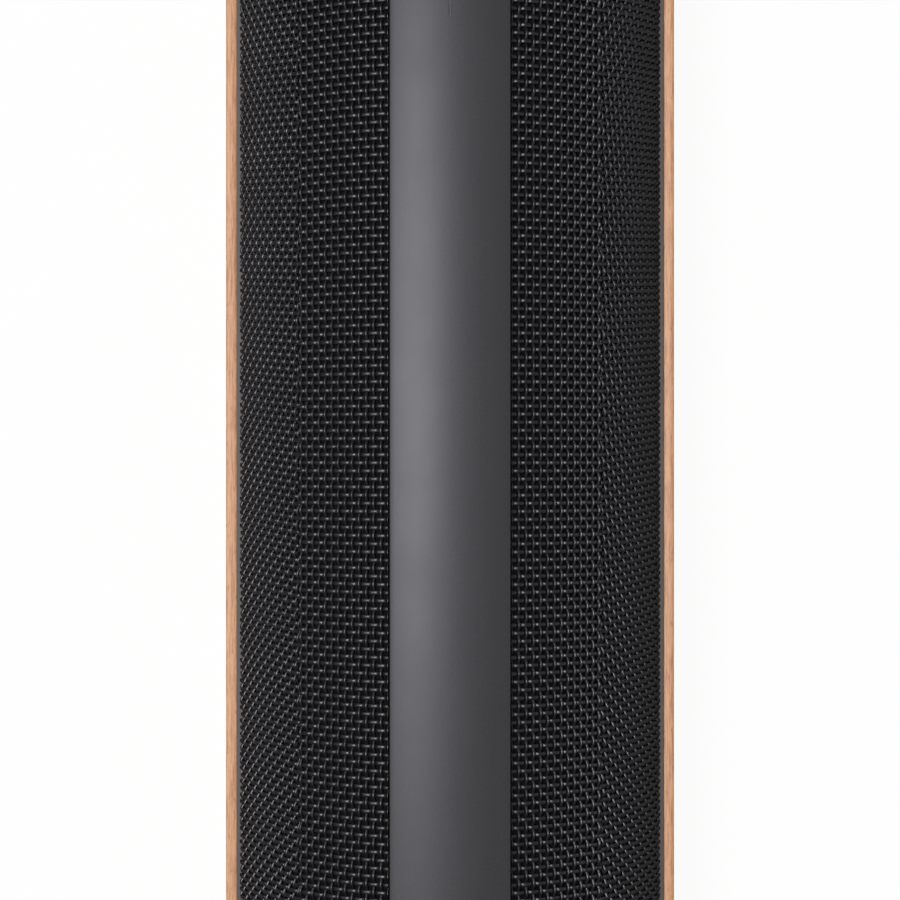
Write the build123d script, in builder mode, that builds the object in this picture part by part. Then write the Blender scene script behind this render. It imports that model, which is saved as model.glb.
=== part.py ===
"""Soundbar: a low domed cloth grille with a dark strip of keys along its ridge, in a beech plinth.

X runs along the bar, the front faces -Y and Z is up. The origin is under the middle of the bar, on the
surface that it stands on. Lengths are in millimetres.
"""

import os
from math import cos, floor, hypot, radians, sin, sqrt

from build123d import *

os.makedirs("parts", exist_ok=True)

# Plinth
plinth_length = 650.0
plinth_width = 97.0
plinth_height = 36.4
plinth_floor = 16.0
plinth_corner = 8.0
plinth_roundover = 0.7
plinth_lower_edge = 2.0
wood_lip = 2.4
foot_radius = 10.8
foot_reach = 2.0
foot_recess = 1.0
foot_bevel = 0.7
foot_end_inset = 53.0
foot_side_inset = 20.5

# Domed section, measured from the middle of the deck, which is the level of the plinth's rim
crease_inset = 14.4
crease_height = 20.6
flank_radius = 76.0
ridge_tilt = 37.8
cloth_thickness = 0.7
cloth_gap = 0.1
frame_thickness = 2.0
end_cap_length = 10.0
end_cap_wall = 3.0
end_cap_round = 2.5
end_cap_crease = 10.0
end_gap = 0.2

# Seal between the grille and the wood
seal_width = 0.6
seal_depth = 1.0
seal_reach = 0.5
seal_gap = 0.1

# Windows in the grille frames
window_pitch = 26.0
window_rib = 6.0
window_edge = 3.0
window_cut = 13.0

# Control strip and its keys
strip_width = 24.2
strip_thickness = 2.2
strip_proud = 0.3
strip_edge_round = 0.25
strip_leg = 1.8
leg_gap = 0.8
leg_edge = 0.3
tuck_gap = 0.3
key_radius = 5.5
key_gap = 0.25
key_flange = 1.0
key_flange_thickness = 0.8
key_travel = 0.6
key_clearance = 0.3
key_pitch = 18.0
key_stem_radius = 1.7
key_edge_round = 0.3
light_start = 36.0
light_length = 20.0
light_slot = 0.5
light_recess = 0.35
light_blade_gap = 0.05
light_foot_width = 3.0
light_neck = 4.0

# Key board under the strip
board_thickness = 1.6
board_margin = 8.0
board_side_gap = 0.4
switch_size = 6.0
switch_height = 3.5
switch_bore_gap = 0.2
switch_bore_depth = 1.8
post_radius = 2.0

# Sound box
chamber_side_room = 5.4
chamber_wall = 2.5
chamber_end_gap = 2.0
chamber_fit = 1.0
crown_room = 12.6
pocket_corner = 4.0
floor_thickness = 2.0
gasket_thickness = 1.0
divider_x = 75.0
boss_radius = 4.0
boss_side_room = 7.0
boss_divider_room = 10.0
boss_end_room = 11.6

# Drivers, along the baffle's normal from its outer face
driver_end_room = 69.6
driver_spacing = 90.0
flange_margin = 1.6
driver_flange_corner = 6.0
driver_flange_thickness = 1.2
driver_gasket = 0.5
driver_screw_inset = 3.5
flange_rim = 2.0
driver_hole_gap = 0.3
basket_wall = 1.0
basket_rim = 2.0
basket_foot_radius = 9.5
magnet_radius = 11.0
magnet_depth = 6.0
yoke_thickness = 1.5
motor_floor_gap = 1.2
cone_inset = 3.6
cone_wall = 0.6
cone_room = 4.5
coil_radius = 5.3
coil_wall = 0.4
coil_overlap = 3.0
coil_gap = 0.5
surround_gap = 0.2
surround_lip = 0.6
surround_wall = 0.5
passive_disc_inset = 4.6
passive_disc_thickness = 2.4

# Fasteners
base_screw_radius = 1.75
base_screw_head = 3.4
base_screw_head_depth = 2.0
screw_fit = 0.1
driver_screw_radius = 1.1
driver_screw_head = 2.0
driver_screw_head_height = 1.2
driver_screw_length = 4.0
cap_screw_y = 25.0
cap_boss_height = 12.0
insert_spacing = 400.0
insert_radius = 4.0
insert_length = 10.0
insert_bore = 2.1

# Electronics in the plinth, with the socket bay open to the rear and below
bay_length = 90.0
bay_height = 13.5
bay_front = 22.0
electronics_length = 120.0
electronics_front = -30.0
electronics_floor = 3.0
board_lift = 1.0
board_edge_gap = 1.0
panel_thickness = 2.0
panel_gap = 0.2
hdmi_width = 15.0
hdmi_height = 6.0
hdmi_depth = 11.0
hdmi_wall = 0.6
hdmi_tongue_width = 11.0
hdmi_tongue = 1.2
jack_width = 8.0
jack_height = 7.0
jack_depth = 11.0
jack_nose_radius = 3.2
aux_bore = 1.8
dc_bore = 2.75
dc_pin = 1.0
socket_pitch = 24.0
heatsink_length = 40.0
heatsink_width = 22.0
heatsink_base = 2.0
heatsink_fin = 1.2
heatsink_fins = 6
heatsink_height = 6.5
capacitor_radius = 4.0
capacitor_height = 8.0
capacitor_pitch = 9.5
capacitor_count = 3
spacer_radius = 2.5
spacer_inset = 5.0
ribbon_x = -20.0
ribbon_width = 8.0
ribbon_thickness = 0.4
ribbon_gap = 0.3

# Values that follow from the sizes above
deck = foot_reach + plinth_height
foot_half = plinth_width / 2 - wood_lip - seal_width - seal_gap
crease_y = foot_half - crease_inset
ridge_radius = crease_y / sin(radians(ridge_tilt))
ridge_drop = ridge_radius * cos(radians(ridge_tilt)) - crease_height
ridge_top = ridge_radius - ridge_drop
flank_span = hypot(crease_inset, crease_height)
flank_reach = sqrt(flank_radius**2 - flank_span**2 / 4)
flank_y = foot_half - crease_inset / 2 - flank_reach * crease_height / flank_span
flank_h = crease_height / 2 - flank_reach * crease_inset / flank_span
dome_end = plinth_length / 2 - wood_lip - seal_width - seal_gap
shell_end = dome_end - end_cap_length - end_gap
chamber_end = shell_end - chamber_end_gap
cloth_edge = strip_width / 2 + tuck_gap
cloth_foot = seal_reach + seal_gap
seal_ledge = cloth_thickness + seal_gap
ledge_y = foot_half + seal_gap - seal_ledge / 2
frame_inset = cloth_thickness + cloth_gap
strip_under = strip_thickness - strip_proud
pocket_floor = foot_reach + plinth_floor
pocket_depth = deck - pocket_floor
chamber_base = floor_thickness + gasket_thickness - pocket_depth
chamber_half = foot_half - chamber_side_room
boss_y = chamber_half - boss_side_room
boss_x_inner = divider_x + chamber_wall + boss_divider_room
boss_x_outer = chamber_end - boss_end_room
driver_x_outer = chamber_end - driver_end_room
driver_x_inner = driver_x_outer - driver_spacing
passive_x = (driver_x_inner + driver_x_outer) / 2
key_flange_radius = key_radius + key_flange
leg_inner = key_flange_radius + leg_gap
leg_outer = leg_inner + strip_leg
crown_half = leg_outer + leg_edge
crown_height = ridge_top - crown_room
slant = sqrt(0.5)
baffle_reach = crown_half + crown_height
baffle_middle_y = (crown_half + chamber_half) / 2
baffle_middle_h = baffle_reach - baffle_middle_y
motor_room = (baffle_middle_h + pocket_depth - floor_thickness - motor_floor_gap) / slant - magnet_radius
driver_flange = (chamber_half - crown_half) / slant - 2 * flange_margin
driver_screw_spacing = driver_flange - 2 * driver_screw_inset
driver_hole_radius = driver_flange / 2 - flange_rim
cone_radius = driver_hole_radius - cone_inset
passive_disc_radius = driver_hole_radius - passive_disc_inset
basket_depth = motor_room - magnet_depth - basket_wall
cone_depth = basket_depth - cone_room
coil_reach = basket_depth + coil_overlap
section = Plane(origin=(0, 0, deck), x_dir=(0, 1, 0), z_dir=(1, 0, 0))


def write(piece, label):
    """Labels a finished piece and writes it to its own STEP file."""
    piece.part.label = label
    export_step(piece.part, f"parts/{label}.step")


def section_at(x):
    """The plane square to the bar at x, with Y and the height above the deck as its own axes."""
    return section.offset(x)


def ridge_height(inset, y):
    """Height of the upper arc at y, set in from the cloth's face."""
    return sqrt((ridge_radius - inset) ** 2 - y**2) - ridge_drop


def crease_point(inset):
    """Where the upper and the lower arc cross, set in from the cloth's face."""
    above, below = ridge_radius - inset, flank_radius - inset
    apart = hypot(flank_y, flank_h + ridge_drop)
    turn_y, turn_h = flank_y / apart, (flank_h + ridge_drop) / apart
    along = (above**2 - below**2 + apart**2) / (2 * apart)
    across = sqrt(above**2 - along**2)
    return along * turn_y + across * turn_h, along * turn_h - across * turn_y - ridge_drop


def flank_point(inset, height):
    """The point of the lower arc at a height above the deck."""
    return flank_y + sqrt((flank_radius - inset) ** 2 - (height - flank_h) ** 2), height


def ridge_arc(inset, edge_y):
    """The upper arc from the strip's edge to the crease."""
    crease = crease_point(inset)
    middle_y = (edge_y + crease[0]) / 2
    middle = (middle_y, ridge_height(inset, middle_y))
    return ThreePointArc((edge_y, ridge_height(inset, edge_y)), middle, crease)


def flank_arc(inset, foot):
    """The lower arc from the crease to its foot."""
    crease = crease_point(inset)
    return ThreePointArc(crease, flank_point(inset, (crease[1] + foot) / 2), flank_point(inset, foot))


def dome_outline(inset, foot):
    """The whole domed section, closed along its foot."""
    crease_side, crease_top = crease_point(inset)
    foot_side = flank_point(inset, foot)[0]
    half_height = (crease_top + foot) / 2
    half_side = flank_point(inset, half_height)[0]
    ThreePointArc((foot_side, foot), (half_side, half_height), (crease_side, crease_top))
    ThreePointArc((crease_side, crease_top), (0, ridge_height(inset, 0)), (-crease_side, crease_top))
    ThreePointArc((-crease_side, crease_top), (-half_side, half_height), (-foot_side, foot))
    Line((-foot_side, foot), (foot_side, foot))


def close_loop(outer, inner):
    """Joins the ends of two open lines that run the same way."""
    Line(outer @ 0, inner @ 0)
    Line(outer @ 1, inner @ 1)


def copies(piece, label, spots):
    """Writes one node that holds the piece at each of the spots."""
    with BuildPart() as group:
        with Locations(*spots):
            add(piece.part)
    write(group, label)


# Places that several pieces share
base_screw_spots = [(x, y) for x in (-boss_x_outer, -boss_x_inner, boss_x_inner, boss_x_outer)
                    for y in (-boss_y, boss_y)]
cap_screw_x = dome_end - end_cap_length / 2
cap_screw_spots = [(x, y) for x in (-cap_screw_x, cap_screw_x) for y in (-cap_screw_y, cap_screw_y)]
foot_x = plinth_length / 2 - foot_end_inset
foot_y = plinth_width / 2 - foot_side_inset
bay_top = foot_reach + bay_height
bay_rear = plinth_width / 2
panel_rear = bay_front + panel_thickness
main_board_bottom = foot_reach + electronics_floor + board_lift
main_board_top = main_board_bottom + board_thickness

# Beech plinth, milled from one board: the dome's pocket and the electronics pocket from above,
# and the socket bay, foot recesses and screw holes from below
with BuildPart() as plinth:
    with BuildSketch(Plane.XY.offset(foot_reach)):
        RectangleRounded(plinth_length, plinth_width, plinth_corner)
    extrude(amount=plinth_height)
    fillet(plinth.faces().sort_by(Axis.Z)[-1].edges(), plinth_roundover)
    chamfer(plinth.faces().sort_by(Axis.Z)[0].edges(), plinth_lower_edge)
    with BuildSketch(Plane.XY.offset(deck)):
        RectangleRounded(2 * (chamber_end + chamber_fit), 2 * (chamber_half + chamber_fit), pocket_corner)
    extrude(amount=-pocket_depth, mode=Mode.SUBTRACT)
    with BuildSketch(Plane.XY.offset(foot_reach + electronics_floor)):
        with Locations((0, (electronics_front + bay_front) / 2)):
            Rectangle(electronics_length, bay_front - electronics_front)
    extrude(amount=pocket_floor - foot_reach - electronics_floor, mode=Mode.SUBTRACT)
    with BuildSketch(Plane.XY.offset(foot_reach)):
        with Locations((0, (bay_front + bay_rear) / 2)):
            Rectangle(bay_length, bay_rear - bay_front)
    extrude(amount=bay_height, mode=Mode.SUBTRACT)
    with BuildSketch(Plane.XY.offset(deck)):
        Rectangle(2 * (dome_end + seal_gap + seal_width), 2 * (foot_half + seal_gap + seal_width))
        Rectangle(2 * (dome_end + seal_gap), 2 * (foot_half + seal_gap), mode=Mode.SUBTRACT)
        with Locations((0, -ledge_y), (0, ledge_y)):
            Rectangle(2 * shell_end, seal_ledge)
    extrude(amount=-seal_depth, mode=Mode.SUBTRACT)
    with BuildSketch(Plane.XY.offset(foot_reach)):
        with GridLocations(2 * foot_x, 2 * foot_y, 2, 2):
            Circle(foot_radius)
    extrude(amount=foot_recess, mode=Mode.SUBTRACT)
    with BuildSketch(Plane.XY.offset(foot_reach)):
        with GridLocations(insert_spacing, 0, 2, 1):
            Circle(insert_radius)
    extrude(amount=insert_length, mode=Mode.SUBTRACT)
    with BuildSketch(Plane.XY.offset(foot_reach)):
        with Locations(*base_screw_spots, *cap_screw_spots):
            Circle(base_screw_radius + screw_fit)
    extrude(amount=plinth_height, mode=Mode.SUBTRACT)
    with BuildSketch(Plane.XY.offset(foot_reach)):
        with Locations(*base_screw_spots, *cap_screw_spots):
            Circle(base_screw_head + screw_fit)
    extrude(amount=base_screw_head_depth, mode=Mode.SUBTRACT)
write(plinth, "plinth")

# Four rubber feet, let into the plinth
with BuildPart() as foot:
    with BuildSketch():
        Circle(foot_radius)
    extrude(amount=foot_reach + foot_recess)
    chamfer(foot.faces().sort_by(Axis.Z)[0].edges(), foot_bevel)
copies(foot, "rubber_feet", [(x, y, 0) for x in (-foot_x, foot_x) for y in (-foot_y, foot_y)])

# Brass inserts for a wall bracket
with BuildPart() as insert:
    with BuildSketch(Plane.XY.offset(foot_reach)):
        Circle(insert_radius)
        Circle(insert_bore, mode=Mode.SUBTRACT)
    extrude(amount=insert_length)
copies(insert, "wall_inserts", [(-insert_spacing / 2, 0, 0), (insert_spacing / 2, 0, 0)])

# Rubber seal in its groove round the grille's foot, with a ledge under each long edge of the cloth
with BuildPart() as seal:
    with BuildSketch(Plane.XY.offset(deck - seal_depth)):
        Rectangle(2 * (dome_end + seal_gap + seal_width), 2 * (foot_half + seal_gap + seal_width))
        Rectangle(2 * (dome_end + seal_gap), 2 * (foot_half + seal_gap), mode=Mode.SUBTRACT)
        with Locations((0, -ledge_y), (0, ledge_y)):
            Rectangle(2 * shell_end, seal_ledge)
    extrude(amount=seal_depth + seal_reach)
write(seal, "base_seal")

# Floor of the sound box, on the pocket's floor
with BuildPart() as chamber_floor:
    with BuildSketch(Plane.XY.offset(pocket_floor)):
        RectangleRounded(2 * chamber_end, 2 * chamber_half, pocket_corner)
        with Locations(*base_screw_spots):
            Circle(base_screw_radius + screw_fit, mode=Mode.SUBTRACT)
        with Locations((ribbon_x, 0)):
            Rectangle(ribbon_width + 2 * ribbon_gap, ribbon_thickness + 2 * ribbon_gap, mode=Mode.SUBTRACT)
    extrude(amount=floor_thickness)
write(chamber_floor, "chamber_floor")

# Foam gasket between the floor and the sound box's rim
with BuildPart() as chamber_gasket:
    with BuildSketch(Plane.XY.offset(pocket_floor + floor_thickness)):
        RectangleRounded(2 * chamber_end, 2 * chamber_half, pocket_corner)
        Rectangle(2 * (chamber_end - chamber_wall), 2 * (chamber_half - chamber_wall), mode=Mode.SUBTRACT)
    extrude(amount=gasket_thickness)
write(chamber_gasket, "chamber_gasket")


def chamber_corners(wall):
    """Corners of the sound box's roof-shaped section, set in by a wall except at its open base."""
    side = chamber_half - wall
    top = crown_height - wall
    slope = baffle_reach - wall / slant
    half = [(side, chamber_base), (side, slope - side), (slope - top, top)]
    return half + [(-y, height) for y, height in reversed(half)]


# Air inside the sound box: two sound chambers and a middle bay, around the screw bosses
with BuildPart() as chamber_air:
    with BuildSketch(section):
        Polygon(*chamber_corners(chamber_wall), align=None)
    extrude(amount=chamber_end - chamber_wall, both=True)
    with BuildSketch(section_at(divider_x)):
        Rectangle(2 * plinth_width, 2 * plinth_width)
    extrude(amount=chamber_wall, mode=Mode.SUBTRACT)
    with BuildSketch(section_at(-divider_x)):
        Rectangle(2 * plinth_width, 2 * plinth_width)
    extrude(amount=-chamber_wall, mode=Mode.SUBTRACT)
    with BuildSketch(Plane.XY.offset(deck + chamber_base)):
        with Locations(*base_screw_spots):
            Circle(boss_radius)
            Circle(base_screw_radius + screw_fit, mode=Mode.SUBTRACT)
    extrude(amount=crown_height - chamber_base, mode=Mode.SUBTRACT)


def baffle_plane(side, lift=0.0):
    """The baffle's outer face in front (side -1) or at the rear (side 1), facing out."""
    place = (0, side * (baffle_middle_y + lift * slant), deck + baffle_middle_h + lift * slant)
    return Plane(origin=place, x_dir=(1, 0, 0), z_dir=(0, side * slant, slant))


# Places of the drivers in front and the passive radiators at the rear
driver_xs = {"left_outer": -driver_x_outer, "left_inner": -driver_x_inner,
             "right_inner": driver_x_inner, "right_outer": driver_x_outer}
passive_xs = {"left": -passive_x, "right": passive_x}
driver_spots = [(x, 0, 0) for x in driver_xs.values()]
passive_spots = [(x, 0, 0) for x in passive_xs.values()]
key_xs = {"power": -1.5 * key_pitch, "source": -0.5 * key_pitch,
          "volume_down": 0.5 * key_pitch, "volume_up": 1.5 * key_pitch}

# Heights of the keys, worked down from the strip's underside
key_flange_top = ridge_height(strip_under, key_flange_radius) - key_clearance
key_flange_bottom = key_flange_top - key_flange_thickness
switch_top = key_flange_bottom - key_travel - key_clearance
key_board_top = switch_top - switch_height
key_board_bottom = key_board_top - board_thickness
key_stem_foot = switch_top - switch_bore_depth + key_travel + key_clearance
key_board_start = key_xs["power"] - switch_size - board_margin
key_board_end = light_start + light_length + board_margin
post_xs = [key_board_start + board_margin / 2, 0, key_board_end - board_margin / 2]

# Sound box: one moulding with a sloping baffle on each side and posts for the key board on its crown
with BuildPart() as speaker_chamber:
    with BuildSketch(section):
        Polygon(*chamber_corners(0), align=None)
    extrude(amount=chamber_end, both=True)
    fillet(speaker_chamber.edges().filter_by(Axis.Z), pocket_corner)
    add(chamber_air.part, mode=Mode.SUBTRACT)
    with BuildSketch(Plane.XY.offset(deck + crown_height)):
        with Locations(*[(x, 0) for x in post_xs]):
            Circle(post_radius)
    extrude(amount=key_board_bottom - crown_height)
    with BuildSketch(Plane.XY.offset(deck + crown_height)):
        with Locations((ribbon_x, 0)):
            Rectangle(ribbon_width + 2 * ribbon_gap, ribbon_thickness + 2 * ribbon_gap)
    extrude(amount=-2 * chamber_wall, mode=Mode.SUBTRACT)
    for side, spots in ((-1, driver_spots), (1, passive_spots)):
        with BuildSketch(baffle_plane(side)):
            with Locations(*spots):
                Circle(driver_hole_radius)
                with GridLocations(driver_screw_spacing, driver_screw_spacing, 2, 2):
                    Circle(driver_screw_radius + screw_fit)
        extrude(amount=-2 * chamber_wall, mode=Mode.SUBTRACT)
write(speaker_chamber, "speaker_chamber")

# Grille frame: a thin curved shell with a crease, opened by two rows of windows between its ribs
window_length = window_pitch - window_rib
window_count = floor((2 * shell_end - window_rib) / window_pitch)


def window_plane(first, second):
    """The plane along the bar through two points of the section, facing out of the front half."""
    run, rise = second[0] - first[0], second[1] - first[1]
    length = hypot(run, rise)
    middle = (0, -(first[0] + second[0]) / 2, deck + (first[1] + second[1]) / 2)
    return Plane(origin=middle, x_dir=(1, 0, 0), z_dir=(0, rise / length, run / length)), length


frame_inner = frame_inset + frame_thickness
frame_top = (cloth_edge, ridge_height(frame_inner, cloth_edge))
ridge_window, ridge_chord = window_plane(frame_top, crease_point(frame_inner))
flank_window, flank_chord = window_plane(crease_point(frame_inner), flank_point(frame_inner, 0))
with BuildPart() as front_frame:
    with BuildSketch(section) as frame_section:
        with BuildLine():
            outer = Wire([ridge_arc(frame_inset, cloth_edge).edge(), flank_arc(frame_inset, 0).edge()])
            inner = Wire([ridge_arc(frame_inner, cloth_edge).edge(), flank_arc(frame_inner, 0).edge()])
            close_loop(outer, inner)
        make_face()
        mirror(about=Plane.YZ, mode=Mode.REPLACE)
    extrude(amount=shell_end, both=True)
    with BuildSketch(ridge_window):
        with GridLocations(window_pitch, 0, window_count, 1):
            Rectangle(window_length, ridge_chord - 2 * window_edge)
    extrude(amount=window_cut, both=True, mode=Mode.SUBTRACT)
    with BuildSketch(flank_window):
        with GridLocations(window_pitch, 0, window_count, 1):
            Rectangle(window_length, flank_chord - 2 * window_edge)
    extrude(amount=window_cut, mode=Mode.SUBTRACT)
write(front_frame, "front_grille_frame")

with BuildPart() as rear_frame:
    mirror(front_frame.part, about=Plane.XZ)
write(rear_frame, "rear_grille_frame")

# Cloth, in an upper and a lower panel that meet at the crease
with BuildPart() as front_upper_cloth:
    with BuildSketch(section):
        with BuildLine():
            close_loop(ridge_arc(0, cloth_edge), ridge_arc(cloth_thickness, cloth_edge))
        make_face()
        mirror(about=Plane.YZ, mode=Mode.REPLACE)
    extrude(amount=shell_end, both=True)
write(front_upper_cloth, "front_upper_cloth")

with BuildPart() as front_lower_cloth:
    with BuildSketch(section):
        with BuildLine():
            close_loop(flank_arc(0, cloth_foot), flank_arc(cloth_thickness, cloth_foot))
        make_face()
        mirror(about=Plane.YZ, mode=Mode.REPLACE)
    extrude(amount=shell_end, both=True)
write(front_lower_cloth, "front_lower_cloth")

with BuildPart() as rear_upper_cloth:
    mirror(front_upper_cloth.part, about=Plane.XZ)
write(rear_upper_cloth, "rear_upper_cloth")

with BuildPart() as rear_lower_cloth:
    mirror(front_lower_cloth.part, about=Plane.XZ)
write(rear_lower_cloth, "rear_lower_cloth")

# Control strip: a curved cover on two legs that stand on the sound box's crown
strip_half = strip_width / 2
with BuildPart() as top_strip:
    with BuildSketch(section):
        with BuildLine():
            edge_top = ridge_height(-strip_proud, strip_half)
            edge_under = ridge_height(strip_under, strip_half)
            apex_top = ridge_height(-strip_proud, 0)
            apex_under = ridge_height(strip_under, 0)
            ThreePointArc((-strip_half, edge_top), (0, apex_top), (strip_half, edge_top))
            Line((strip_half, edge_top), (strip_half, edge_under))
            ThreePointArc((strip_half, edge_under), (0, apex_under), (-strip_half, edge_under))
            Line((-strip_half, edge_under), (-strip_half, edge_top))
        make_face()
        leg_middle = (leg_inner + leg_outer) / 2
        leg_top = ridge_height(strip_under, leg_middle) + strip_thickness / 2
        with Locations((0, (crown_height + leg_top) / 2)):
            with GridLocations(2 * leg_middle, 0, 2, 1):
                Rectangle(strip_leg, leg_top - crown_height)
    extrude(amount=shell_end, both=True)
    long_edges = top_strip.edges().filter_by(Axis.X).group_by(Axis.Y)
    fillet([group.sort_by(Axis.Z)[-1] for group in (long_edges[0], long_edges[-1])], strip_edge_round)
    with BuildSketch(Plane.XY.offset(deck + crown_height)):
        with Locations(*[(x, 0) for x in key_xs.values()]):
            Circle(key_radius + key_gap)
        with Locations((light_start + light_length / 2, 0)):
            Rectangle(light_length, light_slot)
    extrude(amount=plinth_width, mode=Mode.SUBTRACT)
write(top_strip, "top_strip")

# Push keys: a cap cut to the strip's curve, a flange that stops it under the strip, and a stem in its switch
with BuildPart() as key:
    with BuildSketch(Plane.XY.offset(deck + key_flange_bottom)):
        Circle(key_radius)
    extrude(amount=plinth_height)
    with BuildSketch(section):
        with Locations((0, -ridge_drop)):
            Circle(ridge_radius + strip_proud)
    extrude(amount=plinth_width, both=True, mode=Mode.INTERSECT)
    fillet(key.faces().sort_by(Axis.Z)[-1].edges(), key_edge_round)
    with BuildSketch(Plane.XY.offset(deck + key_flange_bottom)):
        Circle(key_flange_radius)
    extrude(amount=key_flange_thickness)
    with BuildSketch(Plane.XY.offset(deck + key_flange_bottom)):
        Circle(key_stem_radius)
    extrude(amount=key_stem_foot - key_flange_bottom)
for name, x in key_xs.items():
    copies(key, f"{name}_key", [(x, 0, 0)])

# Key board on its posts, with a push switch under each key
with BuildPart() as key_board:
    with BuildSketch(Plane.XY.offset(deck + key_board_bottom)):
        with Locations(((key_board_start + key_board_end) / 2, 0)):
            Rectangle(key_board_end - key_board_start, 2 * (leg_inner - board_side_gap))
    extrude(amount=board_thickness)
write(key_board, "key_board")

with BuildPart() as switch:
    with BuildSketch(Plane.XY.offset(deck + key_board_top)):
        Rectangle(switch_size, switch_size)
    extrude(amount=switch_height)
    with BuildSketch(Plane.XY.offset(deck + switch_top)):
        Circle(key_stem_radius + switch_bore_gap)
    extrude(amount=-switch_bore_depth, mode=Mode.SUBTRACT)
copies(switch, "tact_switches", [(x, 0, 0) for x in key_xs.values()])

# Light pipe: a thin blade in the strip's slot, on a foot that stands over the light on the board
with BuildPart() as light_pipe:
    blade_thickness = light_slot - 2 * light_blade_gap
    blade_top = ridge_height(-strip_proud, 0) - light_recess
    with BuildSketch(section_at(light_start + light_blade_gap)):
        with Locations((0, key_board_top + light_neck / 2)):
            Rectangle(light_foot_width, light_neck)
        with Locations((0, (key_board_top + blade_top) / 2)):
            Rectangle(blade_thickness, blade_top - key_board_top)
    extrude(amount=light_length - 2 * light_blade_gap)
write(light_pipe, "status_light_pipe")

# End caps, hollow inside, each with two bosses for the screws that come up through the plinth
with BuildPart() as right_end_cap:
    with BuildSketch(section_at(dome_end - end_cap_length)):
        with BuildLine():
            dome_outline(0, 0)
        make_face()
    extrude(amount=end_cap_length)
    fillet(right_end_cap.edges().filter_by(Axis.X).sort_by(Axis.Z)[-2:], end_cap_crease)
    outer_rim = right_end_cap.faces().sort_by(Axis.X)[-1].edges().sort_by(Axis.Z)[1:]
    fillet(outer_rim, end_cap_round)
    with BuildSketch(section_at(dome_end - end_cap_length)):
        with BuildLine():
            dome_outline(end_cap_wall, end_cap_wall)
        make_face()
    extrude(amount=end_cap_length - end_cap_wall, mode=Mode.SUBTRACT)
    with BuildSketch(Plane.XY.offset(deck)):
        with Locations((cap_screw_x, -cap_screw_y), (cap_screw_x, cap_screw_y)):
            Circle(boss_radius)
    extrude(amount=cap_boss_height)
    with BuildSketch(Plane.XY.offset(deck)):
        with Locations((cap_screw_x, -cap_screw_y), (cap_screw_x, cap_screw_y)):
            Circle(base_screw_radius + screw_fit)
    extrude(amount=cap_boss_height - end_cap_wall / 2, mode=Mode.SUBTRACT)
write(right_end_cap, "right_end_cap")

with BuildPart() as left_end_cap:
    mirror(right_end_cap.part, about=Plane.YZ)
write(left_end_cap, "left_end_cap")

# Screws from below: through the plinth and the floor into the sound box, and into the end caps
with BuildPart() as base_screws:
    with BuildSketch(Plane.XY.offset(foot_reach)):
        with Locations(*base_screw_spots, *cap_screw_spots):
            Circle(base_screw_head)
    extrude(amount=base_screw_head_depth)
    with BuildSketch(Plane.XY.offset(foot_reach)):
        with Locations(*base_screw_spots):
            Circle(base_screw_radius)
    extrude(amount=deck + chamber_base + boss_radius - foot_reach)
    with BuildSketch(Plane.XY.offset(foot_reach)):
        with Locations(*cap_screw_spots):
            Circle(base_screw_radius)
    extrude(amount=plinth_height + cap_boss_height - end_cap_wall)
write(base_screws, "base_screws")


def turned_plane(side):
    """A plane along the baffle's normal, with the distance from the axis and the lift as its own axes."""
    normal = baffle_plane(side).z_dir
    return Plane(origin=baffle_plane(side).origin, x_dir=(1, 0, 0), z_dir=Vector(1, 0, 0).cross(normal))


def turn_axis(side):
    """The axis of a driver in front or a passive radiator at the rear."""
    return Axis(baffle_plane(side).origin, baffle_plane(side).z_dir)


# Driver gasket, a foam ring under the flange
with BuildPart() as driver_gaskets:
    with BuildSketch(baffle_plane(-1)):
        with Locations(*driver_spots):
            RectangleRounded(driver_flange, driver_flange, driver_flange_corner)
            Circle(driver_hole_radius, mode=Mode.SUBTRACT)
            with GridLocations(driver_screw_spacing, driver_screw_spacing, 2, 2):
                Circle(driver_screw_radius + screw_fit, mode=Mode.SUBTRACT)
    extrude(amount=driver_gasket)
write(driver_gaskets, "driver_gaskets")

# Driver baskets: a square flange and a conical frame with four windows, down to the motor's seat
flange_lift = driver_gasket + driver_flange_thickness
basket_radius = driver_hole_radius - driver_hole_gap
basket_inner = basket_radius - basket_wall
basket_foot = -basket_depth - basket_wall
with BuildPart() as basket:
    with BuildSketch(baffle_plane(-1, driver_gasket)):
        RectangleRounded(driver_flange, driver_flange, driver_flange_corner)
        Circle(basket_inner, mode=Mode.SUBTRACT)
        with GridLocations(driver_screw_spacing, driver_screw_spacing, 2, 2):
            Circle(driver_screw_radius + screw_fit, mode=Mode.SUBTRACT)
    extrude(amount=driver_flange_thickness)
    with BuildSketch(turned_plane(-1)):
        Polygon(
            (basket_inner, flange_lift),
            (basket_radius, flange_lift),
            (basket_radius, -basket_wall),
            (basket_foot_radius, -basket_depth),
            (basket_foot_radius, basket_foot),
            (coil_radius + coil_gap, basket_foot),
            (coil_radius + coil_gap, -basket_depth),
            (basket_foot_radius - basket_wall, -basket_depth),
            (basket_inner, -basket_wall),
            align=None,
        )
    revolve(axis=turn_axis(-1))
    with BuildSketch(baffle_plane(-1, -chamber_wall - basket_wall)):
        Rectangle(driver_flange, basket_foot_radius)
        Rectangle(basket_foot_radius, driver_flange)
    extrude(amount=basket_rim + chamber_wall + basket_wall - basket_depth, mode=Mode.SUBTRACT)
copies(basket, "driver_baskets", driver_spots)

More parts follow.
